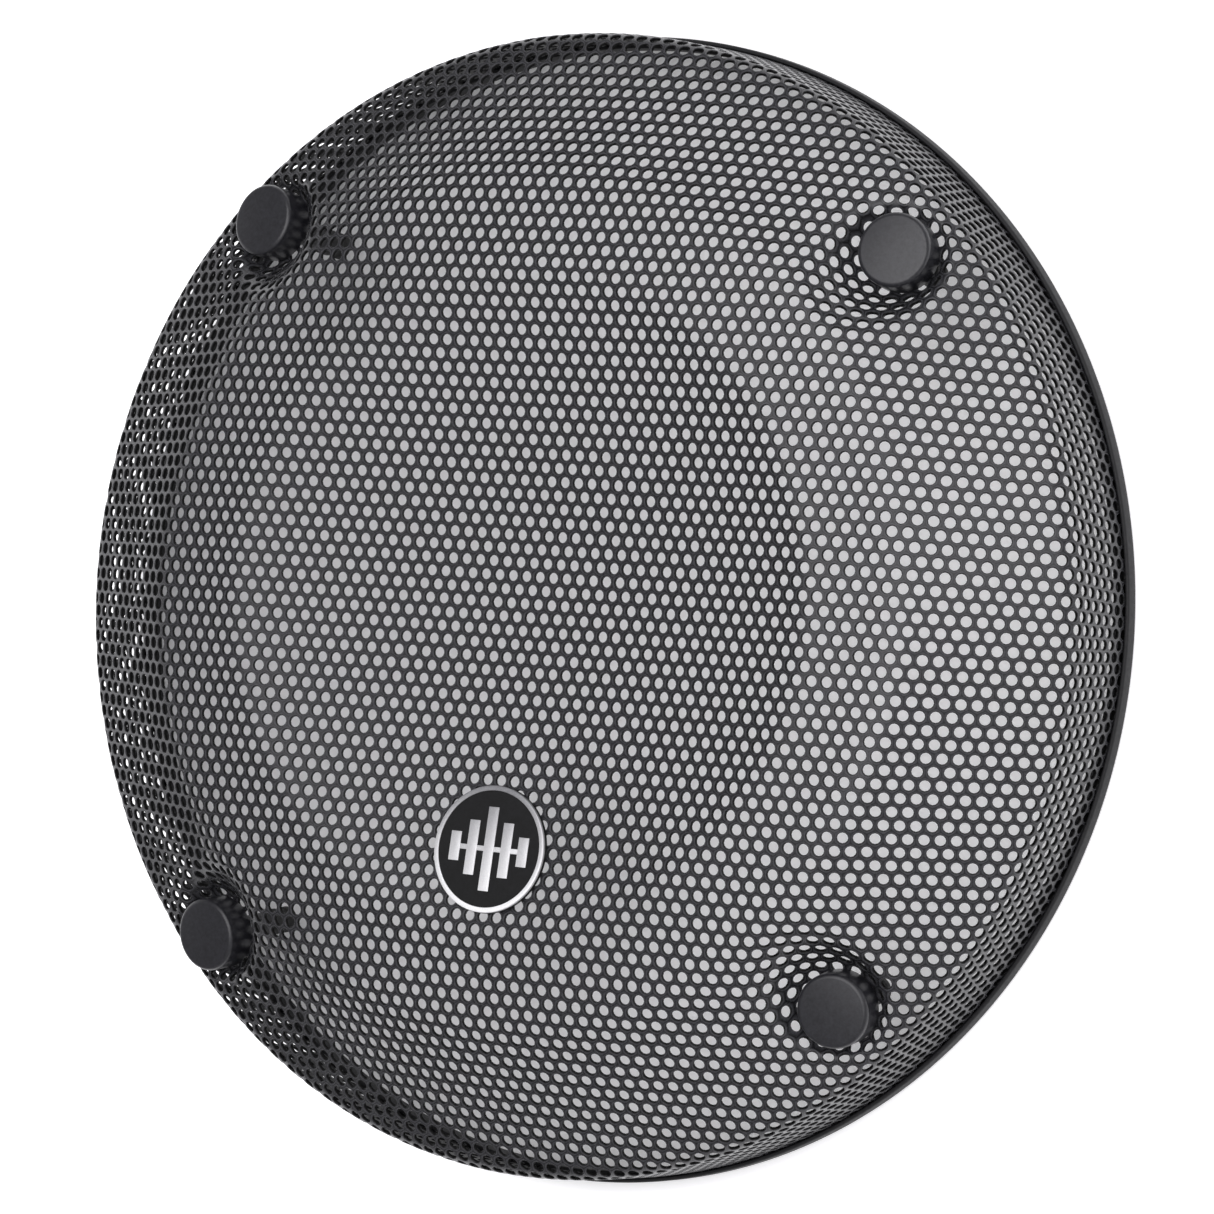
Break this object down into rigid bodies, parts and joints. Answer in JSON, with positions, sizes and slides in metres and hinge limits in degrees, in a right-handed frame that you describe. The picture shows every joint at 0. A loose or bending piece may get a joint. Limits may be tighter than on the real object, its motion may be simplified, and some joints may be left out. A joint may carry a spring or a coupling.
{
  "type": "subwoofer grille",
  "caption": "Round perforated dish grille for a twelve inch car subwoofer, with an edge trim, pull-off corner caps over screw posts and a round badge.",
  "frame": {"origin": "centre of the edge trim's back plane, on the dish's axis", "axes": "+Z out of the front of the grille, +Y towards its top with the badge at the bottom, +X to the right seen from the front"},
  "size_m": [0.3195, 0.3196, 0.0615],
  "materials": {
    "coated_sheet": "fine black powder coat on perforated steel",
    "trim_rubber": "satin black",
    "cap_plastic": "satin black moulded plastic",
    "post_plastic": "black moulded nylon",
    "foot_rubber": "dull black",
    "zinc_steel": "zinc plated",
    "badge_black": "fine satin black",
    "badge_silver": "brushed silver"
  },
  "bodies": {
    "grille": {"perforated_dish": "coated_sheet", "edge_trim": "trim_rubber", "lock_nut_top_left": "zinc_steel", "lock_nut_top_right": "zinc_steel", "lock_nut_bottom_left": "zinc_steel", "lock_nut_bottom_right": "zinc_steel", "washer_top_left": "zinc_steel", "washer_top_right": "zinc_steel", "washer_bottom_left": "zinc_steel", "washer_bottom_right": "zinc_steel", "post_top_left": "post_plastic", "post_top_right": "post_plastic", "post_bottom_left": "post_plastic", "post_bottom_right": "post_plastic", "post_foot_top_left": "foot_rubber", "post_foot_top_right": "foot_rubber", "post_foot_bottom_left": "foot_rubber", "post_foot_bottom_right": "foot_rubber", "badge_base": "badge_black", "badge_ring": "badge_silver", "badge_face": "badge_black", "badge_emblem": "badge_silver", "badge_backing_plate": "zinc_steel", "badge_push_nuts": "zinc_steel"},
    "cap_top_left": {"cap_top_left": "cap_plastic"},
    "cap_top_right": {"cap_top_right": "cap_plastic"},
    "cap_bottom_left": {"cap_bottom_left": "cap_plastic"},
    "cap_bottom_right": {"cap_bottom_right": "cap_plastic"}
  },
  "joints": [
    {"name": "cap_top_left_pull", "type": "slide", "parent": "grille", "child": "cap_top_left", "axis": [-0.1349, 0.1349, 0.9816], "range_m": [0, 0.012]},
    {"name": "cap_top_right_pull", "type": "slide", "parent": "grille", "child": "cap_top_right", "axis": [0.1349, 0.1349, 0.9816], "range_m": [0, 0.012]},
    {"name": "cap_bottom_left_pull", "type": "slide", "parent": "grille", "child": "cap_bottom_left", "axis": [-0.1349, -0.1349, 0.9816], "range_m": [0, 0.012]},
    {"name": "cap_bottom_right_pull", "type": "slide", "parent": "grille", "child": "cap_bottom_right", "axis": [0.1349, -0.1349, 0.9816], "range_m": [0, 0.012]}
  ]
}
